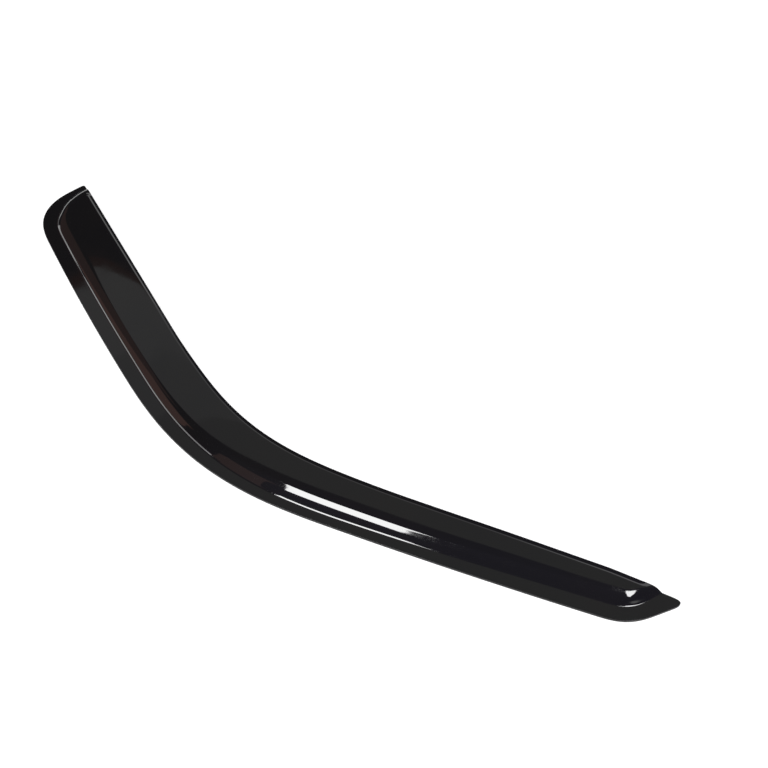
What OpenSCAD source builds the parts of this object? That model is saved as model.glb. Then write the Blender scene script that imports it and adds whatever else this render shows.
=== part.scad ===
// Window rain deflector for the left front door of a car.
// One shell of smoked acrylic: a flat mounting flange runs round the outer edge and both
// ends, a rounded wall lifts the panel off the door, and the long inner edge is trimmed
// free with a small turned-down lip. The rear of the car is at the low end of X.
// The flange lies on Z = 0 and the panel faces up.

/* [Sheet] */
// Thickness of the acrylic
sheet_t = 3; // [2.5:0.25:3.5]

/* [Outline of the flange] */
// Slope of the rear leg against X at its rear end, in degrees
rear_leg_slope = -20.9; // [-25:0.5:-16]
// Turn of the rear corner, in degrees
rear_corner_turn = 79; // [72:1:84]
// Length of edge that the rear corner is spread over
rear_corner_len = 108; // [96:1:124]
// Length of the rear leg
rear_leg_len = 223; // [160:1:290]
// Slight bow of the rear leg, in degrees from end to end
rear_leg_bow = 3.3; // [0:0.1:5]
// Turn of the main bend over the top of the window, in degrees
bend_turn = 36.7; // [28:0.5:42]
// Length of edge that the main bend is spread over
bend_len = 340; // [290:1:400]
// Length of the front leg
front_leg_len = 277; // [220:1:340]
// Slight bow of the front leg, in degrees from end to end
front_leg_bow = 2.5; // [0:0.1:4]
// Turn of the front corner, in degrees
front_corner_turn = 41.6; // [36:1:46]
// Length of edge that the front corner is spread over
front_corner_len = 62; // [56:1:80]

/* [Width and free edge] */
// Width across the rear leg
rear_width = 75; // [72:1:82]
// Width across the front leg where it leaves the bend
front_width = 57.3; // [55:0.5:62]
// Width across the front leg where its corner starts
tip_width = 51.6; // [49:0.5:54]
// Length of the main bend before the part starts to narrow
narrow_from = 37; // [10:1:80]
// Length of the front leg over which the part goes on narrowing with the bend
narrow_past = 54; // [20:1:90]
// Turn of the free edge towards the front tip, in degrees
tip_trim_turn = 3.1; // [1:0.1:5]
// Rounding of the flange's rear corner, as the length it takes from each side
rear_round = 4; // [2:0.5:6]
// Rounding of the front tip, as the length it takes from each side
tip_round = 13; // [8:1:15]

/* [Flange and wall] */
// Width of the flange where the rear end is trimmed off
rear_end_flange = 7; // [5:0.5:10]
// Width of the flange at the middle of the rear corner
corner_flange = 17.3; // [15:0.1:19]
// Width of the flange along the rear leg
rear_flange = 16.3; // [14:0.1:18]
// Width of the flange where the front leg leaves the bend
front_flange = 9.9; // [8:0.1:12]
// Width of the flange round the front corner
tip_flange = 15.6; // [13:0.1:17]
// Width of the flange where the front end is trimmed off
front_end_flange = 18; // [15:0.5:20]
// Radius of the hollow between flange and wall
fillet_r = 2; // [1.5:0.5:4]
// Steepest slope of the wall on the rear leg, in degrees
rear_wall = 37; // [34:1:44]
// Steepest slope of the wall on the front leg and round the front end, in degrees
front_wall = 56; // [50:1:62]
// Radius of the rounding from wall to panel on the rear leg
rear_shoulder_r = 18; // [13:0.5:20]
// Radius of the rounding from wall to panel on the front leg
front_shoulder_r = 9; // [8:0.5:12]

/* [Height above the door] */
// Top of the free edge on the rear leg
rear_height = 8.1; // [7.5:0.1:9.5]
// Top of the free edge where it is highest, past the middle of the bend
bend_height = 13.2; // [11:0.1:14]
// Top of the free edge on the front leg
front_height = 11.4; // [10.5:0.1:13]
// Top of the free edge at the front end
tip_height = 10.4; // [9.8:0.1:12]
// Slope at which the panel leaves the shoulder, in degrees
crown_slope = 5; // [3:0.5:7]

/* [Lip] */
// Width of the turned-down lip on the rear leg
rear_lip_w = 4.2; // [3:0.1:5]
// Width of the turned-down lip on the front leg
front_lip_w = 5.5; // [4:0.1:6]
// Slope of the lip, in degrees
lip_slope = 13; // [8:1:18]

/* [Hidden] */

smoked_black = [0.07, 0.07, 0.08];

// Where each stretch of the outline starts, measured along it from the rear corner
leg_start = rear_corner_len;
bend_start = leg_start + rear_leg_len;
front_start = bend_start + bend_len;
corner_start = front_start + front_leg_len;
corner_end = corner_start + front_corner_len;

// Smooth step from 0 to 1 as x goes from 0 to 1
function ease(x) = x <= 0 ? 0 : x >= 1 ? 1 : x * x * (3 - 2 * x);
function ramp(s, from, len) = ease((s - from) / len);
function mix(a, b, k) = a + (b - a) * k;
function arch(x) = 4 * x * (1 - x);
function bearing(a) = [cos(a), sin(a)];
function cross2(a, b) = a[0] * b[1] - a[1] * b[0];

// Direction of the outline at s: three smooth turns with slightly bowed legs between them
function part_of(s, from, len) = min(max((s - from) / len, 0), 1);
function heading(s) = rear_leg_slope
    - rear_corner_turn * (1 - ramp(s, 0, rear_corner_len))
    + rear_leg_bow * part_of(s, leg_start, rear_leg_len)
    + bend_turn * ramp(s, bend_start, bend_len)
    + front_leg_bow * part_of(s, front_start, front_leg_len)
    + front_corner_turn * ramp(s, corner_start, front_corner_len);

// The outline itself, summed up in short chords, with straight ends beyond both of them
chord = 2;
chords = floor(corner_end / chord);
outline = [for (i = 0, p = [0, 0]; i <= chords; p = p + chord * bearing(heading((i + 0.5) * chord)),
                i = i + 1) p];
function edge_at(s) =
    let (i = min(max(floor(s / chord), 0), chords), rest = s - i * chord)
    outline[i] + rest * bearing(heading(i * chord + rest / 2));
function inward(s) = bearing(heading(s) + 90);

// Width across the part, from the outline to the free edge. The free edge is straight along
// the rear leg. The part narrows with the bend, and then more and more to the front corner.
rear_bow_rise = rear_leg_len * rear_leg_bow * PI / 180 / 8;
narrow_start = bend_start + narrow_from;
narrow_end = front_start + narrow_past;
taper_len = corner_start - narrow_end;
taper = atan(2 * (front_width - tip_width) / taper_len);
function width(s) =
    mix(rear_width, front_width, ramp(s, narrow_start, narrow_end - narrow_start))
    - (front_width - tip_width) * pow(max(0, s - narrow_end) / taper_len, 2)
    + rear_bow_rise * arch(part_of(s, leg_start, rear_leg_len));
function free_mid(s) = edge_at(s) + width(s) * inward(s);

// Both ends: the outline runs straight on until it meets the line of the free edge
rear_trim = rear_leg_slope + rear_leg_bow / 2;
front_trim = heading(corner_start) - taper - tip_trim_turn;
function meet(p, a, q, b) = cross2(q - p, bearing(b)) / cross2(bearing(a), bearing(b));
rear_foot = free_mid(leg_start);
front_foot = free_mid(corner_start);
s_first = meet(edge_at(0), heading(0), rear_foot, rear_trim);
s_last = corner_end + meet(edge_at(corner_end), heading(corner_end), front_foot, front_trim);
rear_corner = edge_at(s_first);
front_tip = edge_at(s_last);

// The section lines stand square to the outline, and turn into the trimmed edge at both ends
fan_rear = leg_start - s_first;
fan_front = s_last - corner_start;
rear_fan_turn = rear_trim - heading(0) - 90;
front_fan_turn = front_trim + 90 - heading(corner_end);
function fan(s) =
    rear_fan_turn * (1 - ramp(s, s_first, fan_rear))
    + front_fan_turn * (1 - ramp(s_last - s, 0, fan_front));
function on_line(s, d) = edge_at(s) + d / cos(fan(s)) * bearing(heading(s) + 90 + fan(s));

// Sizes of the section, each blended along the outline
function toward_front(s) = ramp(s, bend_start, bend_len);
corner_mid = rear_corner_len / 2;
widen_back = 305;
widen_len = 330;
function flange_w(s) =
    s < corner_mid
    ? mix(rear_end_flange, corner_flange, ramp(s, s_first, corner_mid - s_first))
    : mix(mix(corner_flange, mix(rear_flange, front_flange, toward_front(s)),
              ramp(s, corner_mid, corner_mid)),
          mix(tip_flange, front_end_flange, ramp(s, corner_end, s_last - corner_end)),
          ramp(s, corner_start - widen_back, widen_len));
function wall_slope(s) = mix(rear_wall, front_wall, toward_front(s));
function shoulder_r(s) = mix(rear_shoulder_r, front_shoulder_r, toward_front(s));
height_lead = 50;
peak_back = 30;
height_peak = front_start - peak_back;
height_fall = 150;
function free_height(s) =
    mix(mix(mix(rear_height, bend_height, ramp(s, bend_start - height_lead,
                                               height_peak + height_lead - bend_start)),
            front_height, ramp(s, height_peak, height_fall)),
        tip_height, ramp(s, corner_start - front_leg_len / 2, front_leg_len / 2));
function lip_w(s) = mix(rear_lip_w, front_lip_w, toward_front(s));
function lip_drop(s) = lip_w(s) * tan(lip_slope);
function panel_height(s) = free_height(s) + lip_drop(s);

// Across the section: slope and place of each point of flange, hollow, wall and shoulder
fillet_steps = 4;
shoulder_steps = 6;
function wall_len(s) =
    let (a = wall_slope(s))
    (panel_height(s) - sheet_t - fillet_r * (1 - cos(a))
     - shoulder_r(s) * (cos(crown_slope) - cos(a))) / sin(a);
function band(s) =
    let (f = flange_w(s), a = wall_slope(s), r = shoulder_r(s), w = wall_len(s),
         d1 = f + fillet_r * sin(a) + w * cos(a),
         z1 = sheet_t + fillet_r * (1 - cos(a)) + w * sin(a))
    concat([for (k = [0:fillet_steps]) let (b = a * k / fillet_steps)
                [f + fillet_r * sin(b), sheet_t + fillet_r * (1 - cos(b))]],
           [for (k = [0:shoulder_steps]) let (b = mix(a, crown_slope, k / shoulder_steps))
                [d1 + r * (sin(a) - sin(b)), z1 + r * (cos(b) - cos(a))]]);

// Where a section line meets the free edge, and the direction of the edge there
min_panel = 9;
shoulder_end = fillet_steps + shoulder_steps + 1;
function shoulder_d(s) = band(s)[shoulder_end][0];
rear_near = shoulder_d(s_first) / cos(rear_fan_turn) + min_panel;
front_near = shoulder_d(s_last) / cos(front_fan_turn) + min_panel;
rear_reach = norm(rear_foot - rear_corner);
front_reach = norm(front_tip - front_foot);
even_share = 0.15;
function slide(x, near, reach, span) =
    let (p = (span / (reach - near) - even_share) / (1 - even_share))
    mix(near, reach, even_share * x + (1 - even_share) * pow(x, p));
function free_edge(s) =
    s < leg_start
    ? rear_corner + bearing(rear_trim)
        * slide((s - s_first) / fan_rear, rear_near, rear_reach, fan_rear)
    : s > corner_start
    ? front_tip - bearing(front_trim)
        * slide((s_last - s) / fan_front, front_near, front_reach, fan_front)
    : free_mid(s);
function free_bearing(s) =
    s <= leg_start ? rear_trim : s >= corner_start ? front_trim
    : let (v = free_mid(s + 1) - free_mid(s - 1)) atan2(v[1], v[0]);

// The lip: how far the surface is turned down at a distance from the free edge
lip_bend = 1.6;
function lip_share(e, w) =
    e >= w + lip_bend / 2 ? 0
    : e <= w - lip_bend / 2 ? 1 - e / w
    : pow(w + lip_bend / 2 - e, 2) / (2 * lip_bend * w);
function lowered(s, p, z) =
    let (e = abs(cross2(p - free_edge(s), bearing(free_bearing(s)))))
    [p[0], p[1], sheet_t + (z - sheet_t)
        * (1 - lip_share(e, lip_w(s)) * lip_drop(s) / (panel_height(s) - sheet_t))];

// Rounded corners of the flange: how far in a section line starts
function corner_cut(from_end, round) =
    from_end >= round ? 0 : round * pow(1 - sqrt(max(0, from_end) / round), 2);
function start_cut(s) = max(corner_cut(s - s_first, rear_round), corner_cut(s_last - s, tip_round));

// One section line of the upper skin, from the outline to the free edge
panel_steps = 5;
lip_steps = [1.2, 1, 0.8, 0.4, 0];
function section(s) =
    let (b = band(s), d_end = b[shoulder_end][0], top = b[shoulder_end][1],
         from = on_line(s, d_end), to = free_edge(s),
         reach = abs(cross2(from - to, bearing(free_bearing(s)))),
         lip_part = min(lip_w(s) / reach, 0.5),
         flat_part = 1 - lip_steps[0] * lip_part,
         q = concat([for (k = [1:panel_steps - 1]) flat_part * k / panel_steps],
                    [for (l = lip_steps) 1 - l * lip_part]),
         span = norm(to - from))
    concat([concat(edge_at(s) + start_cut(s) * bearing(heading(s) + 90 + fan(s)), sheet_t)],
           [for (p = b) lowered(s, on_line(s, p[0]), p[1])],
           [for (k = q) lowered(s, mix(from, to, k),
                                top + span * tan(crown_slope) * k * (1 - k))]);

// The section lines, closer together where the outline turns
function spread(from, to, n) = [for (i = [0:n - 1]) mix(from, to, i / n)];
round_lines = 4;
rear_corner_lines = 24;
rear_leg_lines = 9;
bend_lines = 26;
front_leg_lines = 12;
front_corner_lines = 20;
function eased_in(len, k) = len * pow(k / round_lines, 2);
stations = concat(
    [for (k = [0:round_lines - 1]) s_first + eased_in(rear_round, k)],
    spread(s_first + rear_round, leg_start, rear_corner_lines),
    spread(leg_start, bend_start, rear_leg_lines),
    spread(bend_start, front_start, bend_lines),
    spread(front_start, corner_start, front_leg_lines),
    spread(corner_start, s_last - tip_round, front_corner_lines),
    [for (k = [round_lines:-1:0]) s_last - eased_in(tip_round, k)]);

upper = [for (s = stations) section(s)];
rows = len(upper[0]) - 1;
last = len(stations) - 1;
flange_row = 1;

// The lower skin lies one thickness below, square to the surface. The trimmed edges are
// cut upright, so there it slides along the surface until it is under the upper edge.
// Beside both trimmed ends it slides as well, so that it stays behind the cut. The very
// first and last lines lie too close together to give a direction, so they borrow one.
crowded_lines = 3;
function along(i, j) = upper[min(i + 1, last)][j] - upper[max(i - 1, 0)][j];
function across(i, j) = upper[i][min(j + 1, rows)] - upper[i][max(j - 1, 0)];
function unit(v) = v / norm(v);
function normal(i, j) =
    let (k = min(max(i, crowded_lines), last - crowded_lines))
    j <= flange_row ? [0, 0, 1] : unit(cross(along(k, j), across(k, j)));
function side_of(a) = [-sin(a), cos(a), 0];
function slid(v, n, a, reach) =
    let (t = cross(n, [cos(a), sin(a), 0]), face = side_of(a))
    v + t * (reach - v * face) / (t * face);
depth_share = 0.8;
function behind_cut(v, i, j, foot, trim) =
    let (face = side_of(trim),
         depth = [foot[0] - upper[i][j][0], foot[1] - upper[i][j][1], 0] * face)
    i == 0 || i == last ? slid(v, normal(i, j), trim, 0)
    : slid(v, normal(i, j), trim, min(v * face, depth_share * depth));
function under(i, j) =
    let (s = stations[i], n = normal(i, j), drop = -sheet_t * n)
    upper[i][j] + (j <= flange_row ? drop
        : j == rows && i > 0 && i < last ? slid(drop, n, free_bearing(s), 0)
        : s < leg_start ? behind_cut(drop, i, j, rear_corner, rear_trim)
        : s > corner_start ? behind_cut(drop, i, j, front_tip, front_trim)
        : drop);
lower = [for (i = [0:last]) [for (j = [0:rows]) under(i, j)]];

// Faces of the closed sheet. Every patch between two section lines is two triangles.
per_line = rows + 1;
skin = (last + 1) * per_line;
function at(i, j) = i * per_line + j;
function patch(a, b, c, d) = [[a, b, c], [a, c, d]];
function flat(lists) = [for (l = lists) for (x = l) x];
sheet_faces = flat(concat(
    [for (i = [0:last - 1]) for (j = [0:rows - 1])
        patch(at(i, j), at(i, j + 1), at(i + 1, j + 1), at(i + 1, j))],
    [for (i = [0:last - 1]) for (j = [0:rows - 1])
        patch(skin + at(i, j), skin + at(i + 1, j), skin + at(i + 1, j + 1), skin + at(i, j + 1))],
    [for (i = [0:last - 1])
        patch(at(i, 0), at(i + 1, 0), skin + at(i + 1, 0), skin + at(i, 0))],
    [for (i = [0:last - 1])
        patch(at(i + 1, rows), at(i, rows), skin + at(i, rows), skin + at(i + 1, rows))],
    [for (j = [0:rows - 1])
        patch(at(0, j + 1), at(0, j), skin + at(0, j), skin + at(0, j + 1))],
    [for (j = [0:rows - 1])
        patch(at(last, j), at(last, j + 1), skin + at(last, j + 1), skin + at(last, j))]));

// The frame stands under the middle of the part
all_points = concat(flat(upper), flat(lower));
function middle(k) = let (v = [for (p = all_points) p[k]]) (min(v) + max(v)) / 2;

module deflector() {
    color(smoked_black)
        translate([-middle(0), -middle(1), 0])
            polyhedron(points = all_points, faces = sheet_faces, convexity = 4);
}

deflector();
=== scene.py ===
# Window rain deflector: one moulded strip of smoked acrylic on a white table.
import math
import bpy
from mathutils import Matrix, Vector


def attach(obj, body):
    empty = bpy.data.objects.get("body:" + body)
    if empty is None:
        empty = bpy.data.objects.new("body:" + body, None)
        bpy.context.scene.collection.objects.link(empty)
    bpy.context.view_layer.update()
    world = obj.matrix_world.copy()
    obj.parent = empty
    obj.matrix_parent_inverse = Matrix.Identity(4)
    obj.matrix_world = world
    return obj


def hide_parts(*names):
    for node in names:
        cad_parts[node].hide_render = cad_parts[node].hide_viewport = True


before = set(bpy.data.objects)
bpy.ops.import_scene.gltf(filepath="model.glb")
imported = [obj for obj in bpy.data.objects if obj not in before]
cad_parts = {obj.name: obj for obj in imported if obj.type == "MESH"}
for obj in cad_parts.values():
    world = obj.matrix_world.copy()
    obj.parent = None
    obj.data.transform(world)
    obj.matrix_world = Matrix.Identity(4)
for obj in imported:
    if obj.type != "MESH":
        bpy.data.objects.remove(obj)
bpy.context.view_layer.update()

# Moulded strip.
# The real piece is one 3 mm sheet of smoked acrylic, warmed, drawn over a mould and trimmed.
# The trimmed edges are scraped and rubbed down, so they are slightly round and satin.
# It goes on a door by its flange alone, so nothing else is fixed to it.
merge_distance = 1e-6
# A cut face is taller than cut_height, and the z of its normal is under cut_slope.
cut_height = 0.002
cut_slope = 0.25
edge_rounding = 0.0003
edge_steps = 2
smoothing_level = 2

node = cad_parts["deflector"]
strip = node.copy()
strip.data = node.data.copy()
strip.name = "moulded_strip"
strip.data.materials.clear()
strip.parent = None
bpy.context.collection.objects.link(strip)

bpy.ops.object.select_all(action="DESELECT")
bpy.context.view_layer.objects.active = strip
strip.select_set(True)
bpy.ops.object.mode_set(mode="EDIT")
bpy.ops.mesh.select_mode(type="EDGE")
bpy.ops.mesh.select_all(action="SELECT")
bpy.ops.mesh.remove_doubles(threshold=merge_distance)
bpy.ops.mesh.select_all(action="DESELECT")
bpy.ops.object.mode_set(mode="OBJECT")

# Each patch of the sheet comes as two triangles in a row, so the edge they share goes.
edge_between = {tuple(sorted(edge.vertices)): edge for edge in strip.data.edges}
faces = strip.data.polygons
for first in range(0, len(faces), 2):
    shared = set(faces[first].vertices) & set(faces[first + 1].vertices)
    if len(shared) == 2:
        edge_between[tuple(sorted(shared))].select = True
bpy.ops.object.mode_set(mode="EDIT")
bpy.ops.mesh.dissolve_edges(use_verts=False)
bpy.ops.mesh.select_all(action="DESELECT")
bpy.ops.object.mode_set(mode="OBJECT")

# The upright cut faces run right round the sheet. They take the second material, and
# both of their edges are rounded.
for face in strip.data.polygons:
    heights = [strip.data.vertices[corner].co.z for corner in face.vertices]
    face.select = abs(face.normal.z) < cut_slope and max(heights) - min(heights) > cut_height
    face.material_index = int(face.select)
bpy.ops.object.mode_set(mode="EDIT")
bpy.ops.mesh.select_mode(type="FACE")
bpy.ops.mesh.region_to_loop()
bpy.ops.mesh.bevel(offset=edge_rounding, segments=edge_steps, affect="EDGES", clamp_overlap=True)
bpy.ops.mesh.select_all(action="DESELECT")
bpy.ops.object.mode_set(mode="OBJECT")
smoothing = strip.modifiers.new("smoothing", "SUBSURF")
smoothing.levels = smoothing_level
smoothing.render_levels = smoothing_level
bpy.ops.object.modifier_apply(modifier=smoothing.name)
bpy.ops.object.shade_smooth()


def ease(value, start, end):
    part = min(max((value - start) / (end - start), 0), 1)
    return part * part * (3 - 2 * part)


# Where the drawn wall leaves the flange it bows out by 0.2 to 0.4 mm, along the rear leg
# and the first part of the bend. It is fullest at its crest and is gone at foot and top.
bow_foot = 0.0031
bow_crest = 0.0044
bow_top = 0.0085
bow_fades = (-0.05, 0.02)
bow_grows = (-0.42, -0.36)
bow_least = 0.00022
bow_growth = 0.00016
wall_slope = 0.3
wall_outward = -0.1
outward = [vertex.normal.copy() for vertex in strip.data.vertices]
for vertex, normal in zip(strip.data.vertices, outward):
    if normal.z > wall_slope and normal.y < wall_outward:
        rise = ease(vertex.co.z, bow_foot, bow_crest)
        fall = 1 - ease(vertex.co.z, bow_crest, bow_top)
        along = 1 - ease(vertex.co.x, *bow_fades)
        height = bow_least + bow_growth * ease(vertex.co.x, *bow_grows)
        vertex.co += normal * height * rise * fall * along


def new_material(name):
    material = bpy.data.materials.new(name)
    material.use_nodes = True
    return material, material.node_tree.nodes["Principled BSDF"]


def noise(tree, scale, detail):
    place = tree.nodes.new("ShaderNodeTexCoord")
    pattern = tree.nodes.new("ShaderNodeTexNoise")
    pattern.inputs["Scale"].default_value = scale
    pattern.inputs["Detail"].default_value = detail
    tree.links.new(place.outputs["Object"], pattern.inputs["Vector"])
    return pattern.outputs["Fac"]


def remap(tree, value, start, end, low, high):
    span = tree.nodes.new("ShaderNodeMapRange")
    span.inputs["From Min"].default_value = start
    span.inputs["From Max"].default_value = end
    span.inputs["To Min"].default_value = low
    span.inputs["To Max"].default_value = high
    tree.links.new(value, span.inputs["Value"])
    return span.outputs["Result"]


def relief(tree, shader, pattern, strength, depth):
    bump = tree.nodes.new("ShaderNodeBump")
    bump.inputs["Strength"].default_value = strength
    bump.inputs["Distance"].default_value = depth
    tree.links.new(pattern, bump.inputs["Height"])
    tree.links.new(bump.outputs["Normal"], shader.inputs["Normal"])


# Smoked acrylic: near black with slightly browner patches, polished all over, with the
# faint waviness of drawn sheet and a little dust.
near_black = (0.003, 0.003, 0.0035, 1)
browner_black = (0.0042, 0.0038, 0.0038, 1)
acrylic, shader = new_material("smoked_acrylic_gloss")
tree = acrylic.node_tree
shader.inputs["IOR"].default_value = 1.6
shader.inputs["Specular IOR Level"].default_value = 1
tint = tree.nodes.new("ShaderNodeValToRGB")
tint.color_ramp.elements[0].position = 0.35
tint.color_ramp.elements[0].color = near_black
tint.color_ramp.elements[1].position = 0.7
tint.color_ramp.elements[1].color = browner_black
tree.links.new(noise(tree, scale=9, detail=3), tint.inputs["Fac"])
tree.links.new(tint.outputs["Color"], shader.inputs["Base Color"])
dust = noise(tree, scale=60, detail=6)
polish = remap(tree, dust, start=0.4, end=0.8, low=0.035, high=0.08)
tree.links.new(polish, shader.inputs["Roughness"])
relief(tree, shader, noise(tree, scale=22, detail=1), strength=0.25, depth=0.0002)

# The cut edge is the same acrylic, scraped, so it is satin with fine scratches.
edge_black = (0.004, 0.004, 0.0045, 1)
cut_edge, shader = new_material("smoked_acrylic_cut_edge")
tree = cut_edge.node_tree
shader.inputs["Base Color"].default_value = edge_black
shader.inputs["IOR"].default_value = 1.49
shader.inputs["Specular IOR Level"].default_value = 0.3
scratches = noise(tree, scale=300, detail=2)
satin = remap(tree, scratches, start=0, end=1, low=0.35, high=0.6)
tree.links.new(satin, shader.inputs["Roughness"])
relief(tree, shader, scratches, strength=0.3, depth=0.0001)

strip.data.materials.append(acrylic)
strip.data.materials.append(cut_edge)
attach(strip, "root")
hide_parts("deflector")

# Table.
# A wide matt white table top, and the strip lies on it by its flange.
# The camera and the gloss of the strip see it white. To the lamps it is grey, so that it
# throws little light up, and it keeps the shadow under the strip.
table_width = 8
table_grey = (0.25, 0.25, 0.25, 1)
table_glow = 0.87
white = (1, 1, 1, 1)


def combine(tree, operation, first, second):
    step = tree.nodes.new("ShaderNodeMath")
    step.operation = operation
    tree.links.new(first, step.inputs[0])
    tree.links.new(second, step.inputs[1])
    return step.outputs[0]


bpy.ops.mesh.primitive_plane_add(size=table_width)
table = bpy.context.object
table.name = "table"
table_top, shader = new_material("white_table")
tree = table_top.node_tree
shader.inputs["Base Color"].default_value = table_grey
shader.inputs["Roughness"].default_value = 0.9
shader.inputs["Emission Color"].default_value = white
rays = tree.nodes.new("ShaderNodeLightPath").outputs
camera_or_glossy = combine(tree, "MAXIMUM", rays["Is Camera Ray"], rays["Is Glossy Ray"])
seen = combine(tree, "MAXIMUM", camera_or_glossy, rays["Is Transmission Ray"])
glow = remap(tree, seen, start=0, end=1, low=0, high=table_glow)
tree.links.new(glow, shader.inputs["Emission Strength"])
table.data.materials.append(table_top)

# Studio light.
# Two bright softboxes lie flat overhead. The long fan-shaped one gives the white band on the
# shoulder, and the one over the front end gives the small patch and the arc.
# The rest is dim: a ceiling, three boxes behind it, low strips and brown cards.
lamp_height = 1.8
plain_white = (1, 1, 1)
brown = (1, 0.54, 0.42)
pale_brown = (1, 0.58, 0.46)
rosy_brown = (1, 0.6, 0.55)


def panel(name, radiance, rows, colour=plain_white):
    bpy.ops.mesh.primitive_grid_add(x_subdivisions=1, y_subdivisions=len(rows) - 1, size=1)
    card = bpy.context.object
    card.name = name
    for number, spot in enumerate(point for row in rows for point in row):
        card.data.vertices[number].co = (*spot, lamp_height)
    cloth, cloth_shader = new_material(name + "_cloth")
    cloth_shader.inputs["Base Color"].default_value = (0, 0, 0, 1)
    cloth_shader.inputs["Specular IOR Level"].default_value = 0
    cloth_shader.inputs["Emission Color"].default_value = (*colour, 1)
    cloth_shader.inputs["Emission Strength"].default_value = radiance
    card.data.materials.append(cloth)
    card.visible_camera = False


def softbox(name, centre, facing, long_way, width, length, radiance, colour=plain_white):
    bpy.ops.object.light_add(type="AREA")
    lamp = bpy.context.object
    lamp.name = name
    lamp.data.shape = "RECTANGLE"
    lamp.data.size = width
    lamp.data.size_y = length
    lamp.data.energy = radiance * math.pi * width * length
    lamp.data.color = colour
    back = (Vector(centre) - Vector(facing)).normalized()
    side = Vector(long_way).cross(back).normalized()
    up = back.cross(side)
    turn = Matrix((side, up, back)).transposed()
    lamp.matrix_world = Matrix.Translation(centre) @ turn.to_4x4()
    lamp.visible_camera = False


panel("long_softbox", radiance=8.6, rows=[
    ((-0.6, -6.8), (1.5, -6.9)),
    ((-0.37, -2.79), (0.68, -2.68)),
    ((-0.37, -1.64), (0.39, -1.5)),
    ((-0.43, -0.93), (0.19, -0.8)),
    ((-0.54, -0.3), (0.02, -0.15))])
panel("front_softbox", radiance=8, rows=[
    ((0.15, 0.8), (0.5, 0.88)),
    ((0.5, 0.42), (1.05, 0.5)),
    ((0.85, 0.0), (1.45, 0.0)),
    ((1.25, -0.4), (1.82, -0.45))])

# The ceiling gets a little brighter in two steps towards the rear, where a brown rim ends it.
ceiling_end = 1.43
panel("ceiling", radiance=0.145, rows=[
    ((-1.3, 0.35), (1.5, 1.35)), ((-1.25, ceiling_end), (1.5, ceiling_end))])
panel("ceiling_edge_1", radiance=0.18, rows=[
    ((-1.62, 0.28), (-1.3, 0.35)), ((-1.42, ceiling_end), (-1.25, ceiling_end))])
panel("ceiling_edge_2", radiance=0.21, rows=[
    ((-1.92, 0.66), (-1.62, 0.28)), ((-1.57, ceiling_end), (-1.42, ceiling_end))])
panel("brown_edge", radiance=0.07, colour=rosy_brown, rows=[
    ((-1.97, 0.69), (-1.92, 0.66)), ((-1.63, ceiling_end), (-1.57, ceiling_end))])

# Three boxes hang side by side behind the ceiling and face straight down.
along_y = (0, 1, 0)
along_z = (0, 0, 1)
back_length = 1.17
back_row = ceiling_end + back_length / 2
for name, middle, width, radiance in (("back_left", -2.16, 0.87, 0.75),
                                      ("back_middle", -1.1, 1.25, 0.31),
                                      ("back_right", 0.02, 1.1, 0.616)):
    softbox(name, (middle, back_row, lamp_height), (middle, back_row, 0), along_y,
            width, back_length, radiance)

# The low strips and brown cards stand at the rear and on the outer side, and the strip's
# wall gets its greys and browns from them.
softbox("low_strip_1", centre=(-2.5, -0.68, 0.27), facing=(0, -0.68, 0.27), long_way=along_y,
        width=0.54, length=0.66, radiance=1.45)
softbox("low_strip_2", centre=(-2.49, -2.32, 0.36), facing=(0, 0, 0.36), long_way=along_z,
        width=2.3, length=0.72, radiance=1.45)
softbox("brown_card_1", centre=(-2.55, -1.6, 1.5), facing=(0, -1.6, 1.5), long_way=along_y,
        width=1.3, length=1.6, radiance=0.232, colour=brown)
softbox("brown_card_2", centre=(-2.55, -0.1, 1.7), facing=(0, -0.1, 1.7), long_way=along_y,
        width=2.2, length=1.4, radiance=0.08, colour=brown)
softbox("brown_card_3", centre=(-1.2, -3.3, 1.3), facing=(0, 0, 0), long_way=along_z,
        width=1.2, length=1.5, radiance=0.12, colour=pale_brown)

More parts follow.
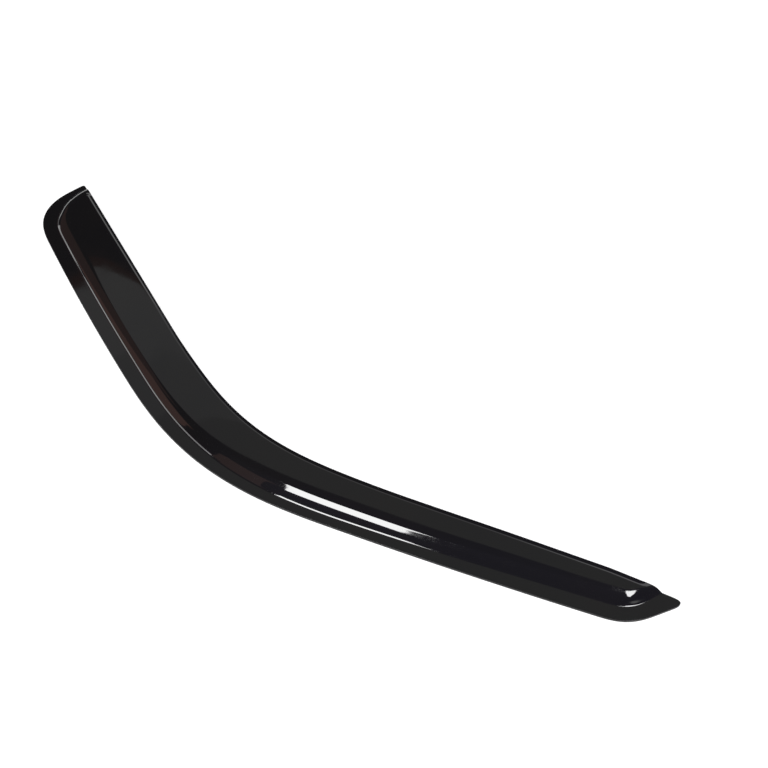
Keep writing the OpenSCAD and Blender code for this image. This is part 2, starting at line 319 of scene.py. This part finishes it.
# Room.
# Plain dark walls, brighter and bluer towards the front, which the strip mirrors between
# the lamps. To the camera the room is white. In reflections only its lowest part is, where
# the table runs on.
rear_walls = (0.036, 0.033, 0.036, 1)
front_walls = (0.069, 0.065, 0.09, 1)
world = bpy.data.worlds.new("studio")
bpy.context.scene.world = world
world.use_nodes = True
tree = world.node_tree
rays = tree.nodes.new("ShaderNodeLightPath").outputs
direction = tree.nodes.new("ShaderNodeTexCoord")
parts = tree.nodes.new("ShaderNodeSeparateXYZ")
tree.links.new(direction.outputs["Generated"], parts.inputs["Vector"])
near_horizon = remap(tree, parts.outputs["Z"], start=0.01, end=0.04, low=1, high=0)
glossy_low = combine(tree, "MULTIPLY", rays["Is Glossy Ray"], near_horizon)
sweep = combine(tree, "MAXIMUM", rays["Is Camera Ray"], glossy_low)
sweep_or_clear = combine(tree, "MAXIMUM", sweep, rays["Is Transmission Ray"])
walls = tree.nodes.new("ShaderNodeMix")
walls.data_type = "RGBA"
walls.inputs["A"].default_value = rear_walls
walls.inputs["B"].default_value = front_walls
front_side = remap(tree, parts.outputs["X"], start=-0.6, end=-0.1, low=0, high=1)
tree.links.new(front_side, walls.inputs["Factor"])
room = tree.nodes.new("ShaderNodeMix")
room.data_type = "RGBA"
room.inputs["B"].default_value = white
tree.links.new(walls.outputs["Result"], room.inputs["A"])
tree.links.new(sweep_or_clear, room.inputs["Factor"])
tree.links.new(room.outputs["Result"], tree.nodes["Background"].inputs["Color"])

# Camera.
# It stands at the front right, well above the table, as the photograph's did. Its small
# shifts move the picture by less than a pixel.
camera_place = (0.6498, -0.5670, 1.1462)
camera_tilt = 38.32
camera_heading = 41.45
bpy.ops.object.camera_add(location=camera_place)
camera = bpy.context.object
camera.name = "camera"
camera.rotation_euler = (math.radians(camera_tilt), 0, math.radians(camera_heading))
camera.data.lens = 61.12
camera.data.sensor_width = 36
camera.data.shift_x = -0.00035
camera.data.shift_y = 0.00095
bpy.context.scene.camera = camera
bpy.context.scene.view_settings.view_transform = "Standard"
